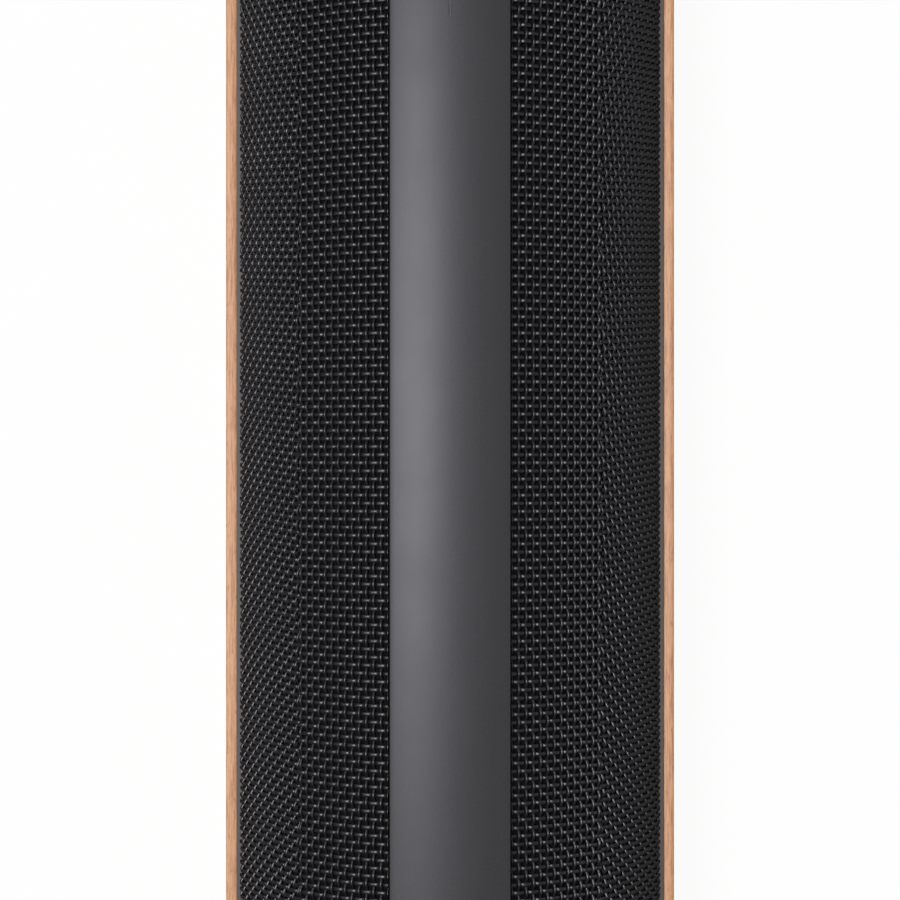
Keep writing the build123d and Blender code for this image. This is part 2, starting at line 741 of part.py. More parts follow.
# Driver motors: a ring magnet on a steel yoke, with the gap that the voice coil moves in
motor_back = basket_foot - magnet_depth
yoke_top = motor_back + yoke_thickness
pole_radius = coil_radius - coil_wall - coil_gap
with BuildPart() as motor:
    with BuildSketch(turned_plane(-1)):
        Polygon(
            (0, basket_foot),
            (pole_radius, basket_foot),
            (pole_radius, yoke_top),
            (coil_radius + coil_gap, yoke_top),
            (coil_radius + coil_gap, basket_foot),
            (magnet_radius, basket_foot),
            (magnet_radius, motor_back),
            (0, motor_back),
            align=None,
        )
    revolve(axis=turn_axis(-1))
copies(motor, "driver_motors", driver_spots)

# Driver cones: paper cone, dust cap and voice coil former in one moving piece
cone_rim = flange_lift - surround_gap
coil_inner = coil_radius - coil_wall
cap_radius = coil_radius + cone_wall
cap_edge = cone_rim - cone_depth
with BuildPart() as cone:
    with BuildSketch(turned_plane(-1)):
        Polygon(
            (cone_radius, cone_rim),
            (cone_radius, cone_rim - cone_wall),
            (coil_radius, cap_edge - 2 * cone_wall),
            (coil_radius, -coil_reach),
            (coil_inner, -coil_reach),
            (coil_inner, cap_edge - cone_wall),
            (0, cap_edge + cone_wall),
            (0, cap_edge + 2 * cone_wall),
            (cap_radius, cap_edge),
            align=None,
        )
    revolve(axis=turn_axis(-1))
for name, x in driver_xs.items():
    copies(cone, f"{name}_cone", [(x, 0, 0)])


def roll_ring(side, inner_radius, lift):
    """A rubber half roll round a cone or disc, with an outer lip on the flange."""
    outer_radius = basket_inner + surround_lip
    middle = (inner_radius + outer_radius) / 2
    reach = (outer_radius - inner_radius) / 2
    with BuildPart() as ring:
        with BuildSketch(turned_plane(side)):
            with BuildLine():
                crest = ThreePointArc((inner_radius, lift), (middle, lift + reach), (outer_radius, lift))
                hollow = ThreePointArc(
                    (inner_radius + surround_wall, lift),
                    (middle, lift + reach - surround_wall),
                    (outer_radius - surround_wall, lift),
                )
                close_loop(crest, hollow)
            make_face()
            with Locations((outer_radius + surround_lip, lift + surround_wall / 2)):
                Rectangle(2 * surround_lip + surround_wall, surround_wall)
        revolve(axis=turn_axis(side))
    return ring


# Driver suspensions: the rubber surround and the cloth spider that let the cone travel
spider_lift = basket_rim - basket_depth
spider_slope = (basket_inner - basket_foot_radius + basket_wall) / (basket_depth - basket_wall)
spider_radius = basket_foot_radius - basket_wall + spider_slope * basket_rim - surround_gap
surround = roll_ring(-1, cone_radius + surround_gap, flange_lift)
with BuildPart() as suspension:
    add(surround.part)
    with BuildSketch(turned_plane(-1)):
        with Locations(((coil_radius + surround_gap + spider_radius) / 2, spider_lift + surround_wall / 2)):
            Rectangle(spider_radius - coil_radius - surround_gap, surround_wall)
    revolve(axis=turn_axis(-1))
for name, x in driver_xs.items():
    copies(suspension, f"{name}_suspension", [(x, 0, 0)])

# Passive radiators at the rear: a flange, a weighted disc and its rubber surround
with BuildPart() as passive_frame:
    with BuildSketch(baffle_plane(1)):
        RectangleRounded(driver_flange, driver_flange, driver_flange_corner)
        Circle(basket_inner, mode=Mode.SUBTRACT)
        with GridLocations(driver_screw_spacing, driver_screw_spacing, 2, 2):
            Circle(driver_screw_radius + screw_fit, mode=Mode.SUBTRACT)
    extrude(amount=flange_lift)
copies(passive_frame, "passive_frames", passive_spots)

with BuildPart() as passive_disc:
    with BuildSketch(baffle_plane(1, flange_lift - passive_disc_thickness)):
        Circle(passive_disc_radius)
    extrude(amount=passive_disc_thickness)
    chamfer(passive_disc.edges(), cone_wall)
passive_surround = roll_ring(1, passive_disc_radius + surround_gap, flange_lift)
for name, x in passive_xs.items():
    copies(passive_disc, f"{name}_passive_disc", [(x, 0, 0)])
    copies(passive_surround, f"{name}_passive_surround", [(x, 0, 0)])


def flange_screws(side, label, spots):
    """Writes the four screws that hold each flange of one side."""
    with BuildPart() as screws:
        with BuildSketch(baffle_plane(side, flange_lift)):
            with Locations(*spots):
                with GridLocations(driver_screw_spacing, driver_screw_spacing, 2, 2):
                    Circle(driver_screw_radius)
        extrude(amount=-driver_screw_length)
        with BuildSketch(baffle_plane(side, flange_lift)):
            with Locations(*spots):
                with GridLocations(driver_screw_spacing, driver_screw_spacing, 2, 2):
                    Circle(driver_screw_head)
        extrude(amount=driver_screw_head_height)
    write(screws, label)


flange_screws(-1, "driver_screws", driver_spots)
flange_screws(1, "passive_screws", passive_spots)

# Main board in the plinth, on four spacers
board_half = electronics_length / 2 - board_edge_gap
board_front = electronics_front + board_edge_gap
board_rear = bay_front - board_edge_gap
board_middle = (board_front + board_rear) / 2
spacer_grid = (2 * (board_half - spacer_inset), board_rear - board_front - 2 * spacer_inset)
with BuildPart() as board_spacers:
    with BuildSketch(Plane.XY.offset(main_board_bottom - board_lift)):
        with Locations((0, board_middle)):
            with GridLocations(*spacer_grid, 2, 2):
                Circle(spacer_radius)
    extrude(amount=board_lift)
write(board_spacers, "board_spacers")

with BuildPart() as main_board:
    with BuildSketch(Plane.XY.offset(main_board_bottom)):
        with Locations((0, board_middle)):
            Rectangle(2 * board_half, board_rear - board_front)
    extrude(amount=board_thickness)
write(main_board, "main_board")

# Finned heatsink on the amplifier
heatsink_x = board_half - spacer_inset - heatsink_length / 2
heatsink_y = board_front + spacer_inset + heatsink_width / 2
with BuildPart() as heatsink:
    with BuildSketch(Plane.XY.offset(main_board_top)):
        with Locations((heatsink_x, heatsink_y)):
            Rectangle(heatsink_length, heatsink_width)
    extrude(amount=heatsink_base)
    with BuildSketch(Plane.XY.offset(main_board_top + heatsink_base)):
        with Locations((heatsink_x, heatsink_y)):
            with GridLocations(0, (heatsink_width - heatsink_fin) / (heatsink_fins - 1), 1, heatsink_fins):
                Rectangle(heatsink_length, heatsink_fin)
    extrude(amount=heatsink_height - heatsink_base)
write(heatsink, "heatsink")

# Supply capacitors
with BuildPart() as capacitors:
    with BuildSketch(Plane.XY.offset(main_board_top)):
        with Locations((-heatsink_x, heatsink_y)):
            with GridLocations(capacitor_pitch, 0, capacitor_count, 1):
                Circle(capacitor_radius)
    extrude(amount=capacitor_height)
write(capacitors, "capacitors")

# Flat ribbon from the key board down to the main board
with BuildPart() as key_ribbon:
    with BuildSketch(Plane.XY.offset(main_board_top)):
        with Locations((ribbon_x, 0)):
            Rectangle(ribbon_width, ribbon_thickness)
    extrude(amount=deck + key_board_bottom - main_board_top)
write(key_ribbon, "key_ribbon")


def rear_plane(y):
    """The plane square to Y that faces the rear, with -X and Z as its own axes."""
    return Plane(origin=(0, y, 0), x_dir=(-1, 0, 0), z_dir=(0, 1, 0))


# Socket panel at the back of the bay, and the sockets on the main board behind it
hdmi_spot = (socket_pitch, main_board_top + hdmi_height / 2)
aux_spot = (0, main_board_top + jack_height / 2)
dc_spot = (-socket_pitch, main_board_top + jack_height / 2)
with BuildPart() as socket_panel:
    with BuildSketch(rear_plane(bay_front)):
        with Locations((0, (foot_reach + bay_top) / 2)):
            Rectangle(bay_length, bay_height)
        with Locations(hdmi_spot):
            Rectangle(hdmi_width + 2 * panel_gap, hdmi_height + 2 * panel_gap, mode=Mode.SUBTRACT)
        with Locations(aux_spot, dc_spot):
            Circle(jack_nose_radius + panel_gap, mode=Mode.SUBTRACT)
    extrude(amount=panel_thickness)
write(socket_panel, "socket_panel")

with BuildPart() as hdmi_socket:
    with BuildSketch(rear_plane(panel_rear)):
        with Locations(hdmi_spot):
            Rectangle(hdmi_width, hdmi_height)
    extrude(amount=-hdmi_depth)
    with BuildSketch(rear_plane(panel_rear)):
        with Locations(hdmi_spot):
            Rectangle(hdmi_width - 2 * hdmi_wall, hdmi_height - 2 * hdmi_wall)
            Rectangle(hdmi_tongue_width, hdmi_tongue, mode=Mode.SUBTRACT)
    extrude(amount=-hdmi_depth + panel_thickness, mode=Mode.SUBTRACT)
write(hdmi_socket, "hdmi_socket")


def jack(label, spot, bore, pin):
    """Writes a round socket: a housing on the board, a nose through the panel, and a pin if it has one."""
    with BuildPart() as socket:
        with BuildSketch(rear_plane(bay_front)):
            with Locations(spot):
                Rectangle(jack_width, jack_height)
        extrude(amount=-jack_depth)
        with BuildSketch(rear_plane(bay_front)):
            with Locations(spot):
                Circle(jack_nose_radius)
        extrude(amount=panel_thickness)
        with BuildSketch(rear_plane(panel_rear)):
            with Locations(spot):
                Circle(bore)
                if pin:
                    Circle(pin, mode=Mode.SUBTRACT)
        extrude(amount=-jack_depth, mode=Mode.SUBTRACT)
    write(socket, label)


jack("aux_socket", aux_spot, aux_bore, 0)
jack("dc_inlet", dc_spot, dc_bore, dc_pin)
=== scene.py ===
import math

import bmesh
import bpy
import numpy as np
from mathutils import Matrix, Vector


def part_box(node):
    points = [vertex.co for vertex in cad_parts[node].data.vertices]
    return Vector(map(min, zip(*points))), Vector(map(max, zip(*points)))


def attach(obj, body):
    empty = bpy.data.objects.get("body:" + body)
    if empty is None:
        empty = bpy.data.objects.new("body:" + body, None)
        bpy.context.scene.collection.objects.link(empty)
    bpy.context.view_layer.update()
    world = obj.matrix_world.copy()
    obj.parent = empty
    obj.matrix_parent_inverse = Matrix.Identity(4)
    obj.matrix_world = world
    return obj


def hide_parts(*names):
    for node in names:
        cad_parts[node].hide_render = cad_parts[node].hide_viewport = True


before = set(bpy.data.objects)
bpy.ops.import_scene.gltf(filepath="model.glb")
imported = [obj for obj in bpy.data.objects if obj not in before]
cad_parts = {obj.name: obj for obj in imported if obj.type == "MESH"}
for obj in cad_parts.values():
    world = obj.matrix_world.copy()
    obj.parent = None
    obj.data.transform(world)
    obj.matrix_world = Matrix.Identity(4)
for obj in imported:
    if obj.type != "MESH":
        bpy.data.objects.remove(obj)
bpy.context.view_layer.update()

# Plinth
# One beech board under the whole bar, planed along the grain, with its rim rounded over.
# It is oiled, and screwed up into the sound box and the end caps from below.


def wire(finish, node, inputs):
    """Sets a node's inputs: a value goes on the socket itself, another node's output is linked to it."""
    for key, value in inputs.items():
        if isinstance(value, bpy.types.NodeSocket):
            finish.node_tree.links.new(value, node.inputs[key])
        else:
            node.inputs[key].default_value = value


def add_node(finish, kind, inputs=None, **settings):
    """Adds one node to a material, with its settings and inputs."""
    node = finish.node_tree.nodes.new("ShaderNode" + kind)
    for key, value in settings.items():
        setattr(node, key, value)
    wire(finish, node, inputs or {})
    return node


def new_finish(name):
    """A new node material and its Principled shader."""
    finish = bpy.data.materials.new(name)
    finish.use_nodes = True
    return finish, finish.node_tree.nodes["Principled BSDF"]


def noise(finish, stretch, detail=2.0, roughness=0.5):
    """Noise on the piece's own coordinates; stretch is how many blotches lie along a metre of X, Y and Z."""
    place = add_node(finish, "TexCoord").outputs["Object"]
    scaled = add_node(finish, "Mapping", {"Vector": place, "Scale": stretch}).outputs["Vector"]
    inputs = {"Vector": scaled, "Scale": 1.0, "Detail": detail, "Roughness": roughness}
    return add_node(finish, "TexNoise", inputs).outputs[0]


def shades(finish, factor, *stops):
    """A colour that goes through the stops, each a place from 0 to 1 and a linear colour."""
    node = add_node(finish, "ValToRGB", {"Fac": factor})
    ramp = node.color_ramp
    while len(ramp.elements) < len(stops):
        ramp.elements.new(1.0)
    for element, (place, colour) in zip(ramp.elements, stops):
        element.position = place
        element.color = (*colour, 1.0)
    return node.outputs["Color"]


def between(finish, factor, low, high):
    """A number that goes from low to high with the factor."""
    return add_node(finish, "MapRange", {"Value": factor, "To Min": low, "To Max": high}).outputs[0]


def relief(finish, height, depth):
    """A normal from small heights; depth is in metres."""
    return add_node(finish, "Bump", {"Height": height, "Strength": 1.0, "Distance": depth}).outputs["Normal"]


def mixed(finish, factor, first, second):
    """One colour laid over another by a factor; the numbers are the Mix node's sockets for colours."""
    inputs = {0: factor, 6: first, 7: second}
    return add_node(finish, "Mix", inputs, data_type="RGBA").outputs[2]


def smooth_copy(node, name, finish, body, sharp=math.radians(32), same_place=1e-6):
    """A copy of a CAD node with its loose triangles joined where their corners are at the same place.

    It is shaded smooth except across edges that are sharper than an angle.
    """
    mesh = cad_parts[node].data.copy()
    mesh.name = name
    joined = bmesh.new()
    joined.from_mesh(mesh)
    bmesh.ops.remove_doubles(joined, verts=joined.verts, dist=same_place)
    joined.to_mesh(mesh)
    joined.free()
    mesh.shade_smooth()
    mesh.set_sharp_from_angle(angle=sharp)
    mesh.materials.clear()
    mesh.materials.append(finish)
    piece = bpy.data.objects.new(name, mesh)
    bpy.context.scene.collection.objects.link(piece)
    piece.modifiers.new("flat faces stay flat", "WEIGHTED_NORMAL").keep_sharp = True
    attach(piece, body)
    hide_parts(node)
    return piece


def beech_finish():
    """Oiled beech: pale growth bands along X, fine pores as lines, and the short dark flecks of its rays."""
    finish, shader = new_finish("oiled_beech")
    bands = noise(finish, (4.0, 260.0, 260.0), 3.0)
    pores = noise(finish, (160.0, 2600.0, 2600.0), 3.0, 0.65)
    rays = noise(finish, (520.0, 3200.0, 3200.0), 1.0)
    ground = shades(finish, bands, (0.3, (0.50, 0.240, 0.118)), (0.7, (0.66, 0.355, 0.195)))
    lines = shades(finish, pores, (0.36, (0.36, 0.150, 0.068)), (0.58, (0.70, 0.385, 0.215)))
    wood = mixed(finish, 0.6, ground, lines)
    fleck = shades(finish, rays, (0.62, (0.0, 0.0, 0.0)), (0.70, (1.0, 1.0, 1.0)))
    wood = mixed(finish, between(finish, fleck, 0.0, 0.6), wood, (0.33, 0.145, 0.075, 1.0))
    wire(finish, shader, {
        "Base Color": wood,
        "Roughness": between(finish, pores, 0.42, 0.58),
        "Normal": relief(finish, pores, 0.00006),
    })
    return finish


plinth = smooth_copy("plinth", "plinth_board", beech_finish(), "bar")

# Feet, wall inserts and base screws
# Soft rubber discs let into the board, brass inserts for a bracket, and zinc plated screws
# whose heads lie in counterbores under the board.


def mottled_finish(name, dark, light, blotch, roughness, depth, metal=0.0, gloss=0.5):
    """An even material with a fine mottle: colour, roughness and relief follow one noise.

    Blotch is the size of its spots in metres, and roughness its lowest and highest value. Gloss is 0.5
    on plastic and 0 where fibres let no light glance off.
    """
    finish, shader = new_finish(name)
    spots = noise(finish, (1 / blotch,) * 3, 3.0, 0.6)
    wire(finish, shader, {
        "Base Color": shades(finish, spots, (0.3, dark), (0.7, light)),
        "Roughness": between(finish, spots, *roughness),
        "Normal": relief(finish, spots, depth),
        "Metallic": metal,
        "Specular IOR Level": gloss,
    })
    return finish


rubber = mottled_finish(
    "black_rubber", (0.008, 0.008, 0.008), (0.017, 0.016, 0.016),
    blotch=0.0006, roughness=(0.6, 0.8), depth=0.00004,
)
brass = mottled_finish(
    "turned_brass", (0.55, 0.36, 0.13), (0.70, 0.48, 0.20),
    blotch=0.0012, roughness=(0.25, 0.4), depth=0.00001, metal=1.0,
)
zinc = mottled_finish(
    "zinc_plate", (0.42, 0.42, 0.43), (0.58, 0.57, 0.55),
    blotch=0.0015, roughness=(0.28, 0.45), depth=0.00001, metal=1.0,
)
for node, name, finish, slot in (
    ("rubber_feet", "foot_discs", rubber, "rubber_black"),
    ("wall_inserts", "bracket_inserts", brass, "brass"),
    ("base_screws", "underside_screws", zinc, "steel"),
):
    piece = smooth_copy(node, name, finish, "bar")

# Base seal
# A thin rubber lip in a groove round the foot of the cloth, which closes the gap to the wood.
# A ledge of it lies under each long edge of the cloth.


def dress(finish, *names):
    """Gives CAD nodes a finish in place of the one that they came with."""
    for name in names:
        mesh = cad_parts[name].data
        mesh.materials.clear()
        mesh.materials.append(finish)


seal_rubber = mottled_finish(
    "seal_rubber", (0.055, 0.045, 0.041), (0.085, 0.070, 0.064),
    blotch=0.0008, roughness=(0.5, 0.7), depth=0.00003,
)
dress(seal_rubber, "base_seal")

# Sound box
# Two moulded halves, the roof-shaped box and its floor, with a foam gasket between them.
# They are black inside the bar and hold the drivers.

moulding = mottled_finish(
    "black_moulding", (0.010, 0.010, 0.011), (0.020, 0.020, 0.021),
    blotch=0.0005, roughness=(0.5, 0.7), depth=0.00004,
)
foam = mottled_finish(
    "gasket_foam", (0.012, 0.012, 0.012), (0.045, 0.044, 0.043),
    blotch=0.0007, roughness=(0.85, 0.98), depth=0.00025,
)
dress(moulding, "speaker_chamber", "chamber_floor")
dress(foam, "chamber_gasket", "driver_gaskets")

# Drivers and passive radiators
# Pressed paper cones in steel baskets with ring magnets, weighted discs at the rear,
# all hung in rubber surrounds and screwed to the baffles.


def cone_finish():
    """Pressed paper: dark grey pulp with pale fibres."""
    finish, shader = new_finish("cone_paper")
    pulp = noise(finish, (900.0,) * 3, 6.0, 0.7)
    fibre = noise(finish, (1500.0, 300.0, 300.0), 4.0)
    ground = shades(finish, pulp, (0.3, (0.016, 0.016, 0.017)), (0.75, (0.040, 0.039, 0.038)))
    wire(finish, shader, {
        "Base Color": mixed(finish, between(finish, fibre, 0.0, 0.25), ground, (0.12, 0.115, 0.11, 1.0)),
        "Roughness": between(finish, pulp, 0.75, 0.92),
        "Normal": relief(finish, pulp, 0.00008),
    })
    return finish


ferrite = mottled_finish(
    "ferrite_and_steel", (0.05, 0.05, 0.052), (0.12, 0.12, 0.125),
    blotch=0.002, roughness=(0.4, 0.6), depth=0.00003, metal=0.6,
)
stamped = mottled_finish(
    "stamped_steel", (0.20, 0.20, 0.21), (0.34, 0.34, 0.35),
    blotch=0.003, roughness=(0.35, 0.5), depth=0.00002, metal=1.0,
)
paper = cone_finish()
for driver in ("left_outer", "left_inner", "right_inner", "right_outer"):
    dress(paper, driver + "_cone")
    dress(rubber, driver + "_suspension")
for end in ("left", "right"):
    dress(stamped, end + "_passive_disc")
    dress(rubber, end + "_passive_surround")
dress(stamped, "driver_baskets", "passive_frames")
dress(ferrite, "driver_motors")
dress(zinc, "driver_screws", "passive_screws")

# Electronics
# A board on spacers in the plinth with the amplifier's finned heatsink and three capacitors,
# and a flat ribbon that climbs to the key board.


def board_finish():
    """Circuit board: green solder mask over a layout of copper runs, which show as paler blocks."""
    finish, shader = new_finish("solder_mask")
    place = add_node(finish, "TexCoord").outputs["Object"]
    runs = {"Vector": place, "Scale": 260.0, "Mortar Size": 0.03, "Color1": (0.010, 0.075, 0.030, 1.0),
            "Color2": (0.016, 0.110, 0.045, 1.0), "Mortar": (0.030, 0.170, 0.070, 1.0)}
    layout = add_node(finish, "TexBrick", runs)
    grain = noise(finish, (1600.0,) * 3)
    wire(finish, shader, {
        "Base Color": layout.outputs["Color"],
        "Roughness": between(finish, grain, 0.28, 0.42),
        "Normal": relief(finish, layout.outputs["Fac"], 0.00003),
    })
    return finish


def ribbon_finish():
    """Flat cable: pale grey film with a darker line for each conductor."""
    finish, shader = new_finish("flat_ribbon")
    place = add_node(finish, "TexCoord").outputs["Object"]
    cores = add_node(finish, "TexWave", {"Vector": place, "Scale": 160.0, "Distortion": 0.0}).outputs["Fac"]
    wire(finish, shader, {
        "Base Color": shades(finish, cores, (0.2, (0.45, 0.44, 0.42)), (0.6, (0.68, 0.67, 0.65))),
        "Roughness": between(finish, cores, 0.4, 0.55),
        "Normal": relief(finish, cores, 0.0001),
    })
    return finish


anodised = mottled_finish(
    "anodised_aluminium", (0.40, 0.41, 0.42), (0.56, 0.57, 0.58),
    blotch=0.001, roughness=(0.35, 0.5), depth=0.00002, metal=1.0,
)
dress(board_finish(), "main_board", "key_board")
dress(anodised, "heatsink", "capacitors")
dress(ribbon_finish(), "key_ribbon")
dress(moulding, "board_spacers", "tact_switches")

# Sockets
# A moulded panel at the back of the bay with a folded steel shell for the picture and sound lead,
# a round audio jack and the power inlet.

socket_plastic = mottled_finish(
    "socket_plastic", (0.010, 0.010, 0.010), (0.022, 0.022, 0.022),
    blotch=0.0006, roughness=(0.35, 0.5), depth=0.00003,
)
for node, name, finish, slot in (
    ("socket_panel", "bay_panel", moulding, "socket_black"),
    ("hdmi_socket", "lead_socket", zinc, "socket_metal"),
    ("aux_socket", "audio_jack", socket_plastic, "socket_black"),
    ("dc_inlet", "power_inlet", socket_plastic, "socket_black"),
):
    piece = smooth_copy(node, name, finish, "bar")

# Grille frames
# Thin curved shells, one in front and one behind, with two rows of windows for the sound.
# The cloth is stretched over them and glued round their edges.

dress(moulding, "front_grille_frame", "rear_grille_frame")

# Cloth
# Black plain weave stretched over the frames in an upper and a lower panel that meet at the crease.
# The lower panel's weft is set a little closer, and it is cut askew, so its yarns slant down to the wood.

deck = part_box("plinth")[1].z
shell_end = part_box("rear_upper_cloth")[1].x
crease_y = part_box("rear_upper_cloth")[1].y
crease_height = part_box("rear_lower_cloth")[1].z - deck
cloth_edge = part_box("rear_upper_cloth")[0].y
cloth_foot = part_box("rear_lower_cloth")[0].z - deck
foot_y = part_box("rear_lower_cloth")[1].y
ridge_tilt = math.radians(37.8)
ridge_radius = crease_y / math.sin(ridge_tilt)
ridge_drop = ridge_radius * math.cos(ridge_tilt) - crease_height
flank_radius = 0.076
flank_run, flank_fall = foot_y - crease_y, crease_height - cloth_foot
flank_span = math.hypot(flank_run, flank_fall)
flank_reach = math.sqrt(flank_radius**2 - flank_span**2 / 4)
flank_y = (crease_y + foot_y) / 2 - flank_reach * flank_fall / flank_span
flank_h = (crease_height + cloth_foot) / 2 - flank_reach * flank_run / flank_span

upper_panel = {
    "radius": ridge_radius, "centre": (0.0, deck - ridge_drop),
    "start": math.asin(cloth_edge / ridge_radius), "end": ridge_tilt,
    "warp_turn": 0.0, "weft_turn": 0.0,
    "warp_spacing": 0.00158, "weft_spacing": 0.00163, "bend": 3.2,
}
lower_panel = {
    "radius": flank_radius, "centre": (flank_y, deck + flank_h),
    "start": math.atan2(crease_y - flank_y, crease_height - flank_h),
    "end": math.atan2(foot_y - flank_y, cloth_foot - flank_h),
    "warp_turn": math.radians(6.7), "weft_turn": math.radians(4.8),
    "warp_spacing": 0.00158, "weft_spacing": 0.001445, "bend": 3.5,
}
warp_yarn = {
    "half_width": 0.00036, "height": 0.00034, "wave": 0.00028, "cuts": 3,
    "across": np.array([-1.0, -0.5, -0.25, 0.25, 0.5, 1.0]),
    "rise": np.array([0.0, 0.82, 1.0, 1.0, 0.82, 0.0]),
    "slope": np.array([2.8, 0.84, 0.15, -0.15, -0.84, -2.8]),
}
weft_yarn = {
    "half_width": 0.00041, "height": 0.00018, "wave": 0.00045, "cuts": 5,
    "across": np.array([-1.0, -0.5, 0.0, 0.5, 1.0]),
    "rise": np.array([0.0, 0.85, 1.0, 0.85, 0.0]),
    "slope": np.array([2.0, 0.7, 0.0, -0.7, -2.0]),
}
yarn_middle = -0.00034
gap_shade_sheet_lift = -0.00077
gap_shade_sheet_columns, gap_shade_sheet_rows = 64, 25


def on_panel(panel, side, x, run, lift):
    """Points of a panel's arc.

    Run is the distance down the arc from its upper edge, and lift the height off its face.
    """
    angle = panel["start"] + run / panel["radius"]
    reach = panel["radius"] + lift
    y, z = panel["centre"]
    return np.stack([x, side * (y + reach * np.sin(angle)), z + reach * np.cos(angle)], -1)


def grid_quads(rows, columns):
    """The quads between neighbouring points of a grid that is numbered row by row."""
    corner = np.arange(rows * columns).reshape(rows, columns)
    return np.stack([corner[:-1, :-1], corner[:-1, 1:], corner[1:, 1:], corner[1:, :-1]], -1).reshape(-1, 4)


def surface(name, points, quads, finish, body, uv=None, normals=None):
    """A smooth piece on one of the bodies, from whole arrays of points and quads.

    It has a map and normals of its own where they are given.
    """
    mesh = bpy.data.meshes.new(name)
    mesh.vertices.add(len(points))
    mesh.vertices.foreach_set("co", np.ascontiguousarray(points, np.float32).ravel())
    mesh.loops.add(quads.size)
    mesh.loops.foreach_set("vertex_index", np.ascontiguousarray(quads, np.int32).ravel())
    mesh.polygons.add(len(quads))
    mesh.polygons.foreach_set("loop_start", np.arange(0, quads.size, 4, dtype=np.int32))
    mesh.update(calc_edges=True)
    if uv is not None:
        layer = mesh.uv_layers.new(name="along_and_round")
        layer.data.foreach_set("uv", np.ascontiguousarray(uv[quads.ravel()], np.float32).ravel())
    mesh.shade_smooth()
    if normals is not None:
        mesh.normals_split_custom_set_from_vertices(normals.tolist())
    mesh.materials.append(finish)
    piece = bpy.data.objects.new(name, mesh)
    bpy.context.scene.collection.objects.link(piece)
    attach(piece, body)
    return piece


def yarns(panel, side, lengthwise, parity):
    """Every second yarn of one direction of a panel's weave: points, quads, map and normals.

    A yarn is an arched section carried along a straight line of the unrolled panel. It is up where it
    crosses over a yarn of the other direction and down where it dives under the next one. On the way a
    warp's height goes as a cosine. A weft's falls with a power of the distance, the panel's bend, so that
    its float is long and flat. What lies past the panel's edges is drawn back to the edge.
    """
    width = panel["radius"] * (panel["end"] - panel["start"])
    run = np.array([math.cos(panel["warp_turn"]), math.sin(panel["warp_turn"])])
    rise = np.array([-math.sin(panel["weft_turn"]), math.cos(panel["weft_turn"])])
    along, over = (run, rise) if lengthwise else (rise, run)
    kind = warp_yarn if lengthwise else weft_yarn
    spacing, pitch = panel["warp_spacing"], panel["weft_spacing"]
    if not lengthwise:
        spacing, pitch = pitch, spacing
    step = pitch / kind["cuts"]
    corners = np.array([[x, down] for x in (-shell_end, shell_end) for down in (0.0, width)])
    reach = np.linalg.solve(np.stack([along, over], 1), corners.T)
    index = np.arange(math.floor(reach[1].min() / spacing), math.ceil(reach[1].max() / spacing) + 1)
    index = index[index % 2 == parity]
    steps = np.arange(math.floor(reach[0].min() / step), math.ceil(reach[0].max() / step) + 1)
    ring = kind["across"]
    sideways = index[:, None, None] * spacing + kind["half_width"] * ring
    ahead = np.broadcast_to((steps * step)[None, :, None], (len(index), len(steps), len(ring)))
    sideways = np.broadcast_to(sideways, ahead.shape)
    flat = ahead[..., None] * along + sideways[..., None] * over
    over_at = (index[:, None, None] + (not lengthwise)) % 2
    away = (steps / kind["cuts"])[None, :, None] - over_at
    away = away - 2 * np.round(away / 2)
    far = np.abs(away)
    if lengthwise:
        lift = kind["wave"] * np.cos(np.pi * far)
        climb = -kind["wave"] * np.pi * np.sin(np.pi * far) * np.sign(away) / pitch
    else:
        lift = kind["wave"] * (1 - 2 * far ** panel["bend"])
        climb = -2 * kind["wave"] * panel["bend"] * far ** (panel["bend"] - 1) * np.sign(away) / pitch
    lift = yarn_middle + lift + kind["height"] * kind["rise"]
    lean = kind["height"] / kind["half_width"] * kind["slope"]
    x, down = flat[..., 0], flat[..., 1]
    angle = panel["start"] + down / panel["radius"]
    tilt_x = -(climb * along[0] + lean * over[0])
    tilt_down = -(climb * along[1] + lean * over[1])
    normals = np.stack([
        tilt_x,
        side * (np.sin(angle) + tilt_down * np.cos(angle)),
        np.cos(angle) - tilt_down * np.sin(angle),
    ], -1).reshape(-1, 3)
    normals /= np.linalg.norm(normals, axis=1, keepdims=True)
    beyond = (x < -shell_end) + 2 * (x > shell_end) + 4 * (down < 0) + 8 * (down > width)
    inside_x, inside_down = np.clip(x, -shell_end, shell_end), np.clip(down, 0, width)
    points = on_panel(panel, side, inside_x, inside_down, lift).reshape(-1, 3)
    first_points = np.arange(len(index)) * len(steps) * len(ring)
    quads = grid_quads(len(steps), len(ring))[None] + first_points[:, None, None]
    quads = quads.reshape(-1, 4)
    corner_beyond = beyond.ravel()[quads]
    quads = quads[np.bitwise_and.reduce(corner_beyond, axis=1) == 0]
    if lengthwise == (side > 0):
        quads = quads[:, ::-1]
    used, numbers = np.unique(quads, return_inverse=True)
    round_map = np.broadcast_to(ring / 2 + 0.5, ahead.shape)
    uv = np.stack([ahead, round_map], -1).reshape(-1, 2)
    return points[used], numbers.reshape(-1, 4), uv[used], normals[used]


